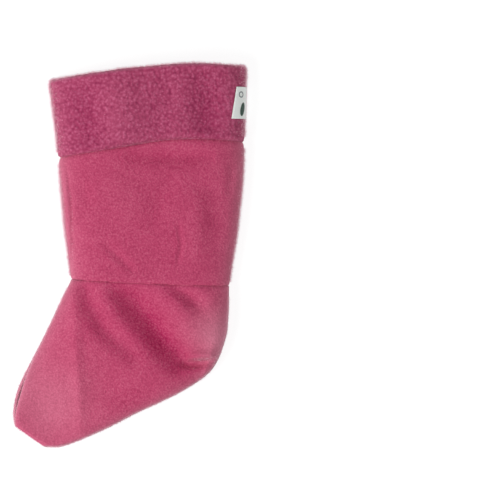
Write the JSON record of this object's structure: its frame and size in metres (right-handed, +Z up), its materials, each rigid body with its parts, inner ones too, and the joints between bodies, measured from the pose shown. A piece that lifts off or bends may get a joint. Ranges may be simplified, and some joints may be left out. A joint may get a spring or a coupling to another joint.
{
  "type": "boot liner sock",
  "caption": "Toddler's fleece boot-liner sock lying flat: doubled curly-pile cuff, wrapped leg panel, two-sided foot and a folded woven label.",
  "frame": {"origin": "middle of the footprint, on the surface that the sock lies on", "axes": "+Y up the leg to the cuff, -X towards the instep and toe, +Z up out of the surface it lies on"},
  "size_m": [0.1746, 0.2878, 0.0251],
  "materials": {
    "body_fleece": "brushed polyester fleece, rose pink, matt",
    "cuff_fleece": "curly-pile polyester fleece, deeper rose, matt",
    "label_weave": "white woven satin ribbon",
    "label_thread": "white polyester thread",
    "seam_thread": "rose polyester overlock thread"
  },
  "bodies": {
    "root": {"cuff_band": "cuff_fleece", "leg_panel": "body_fleece", "foot_side_upper": "body_fleece", "foot_side_lower": "body_fleece", "label": "label_weave", "label_thread": "label_thread", "cuff_back_thread": "seam_thread", "cuff_join_thread": "seam_thread", "leg_front_thread": "seam_thread", "ankle_thread": "seam_thread", "foot_outline_thread": "seam_thread"}
  },
  "joints": []
}
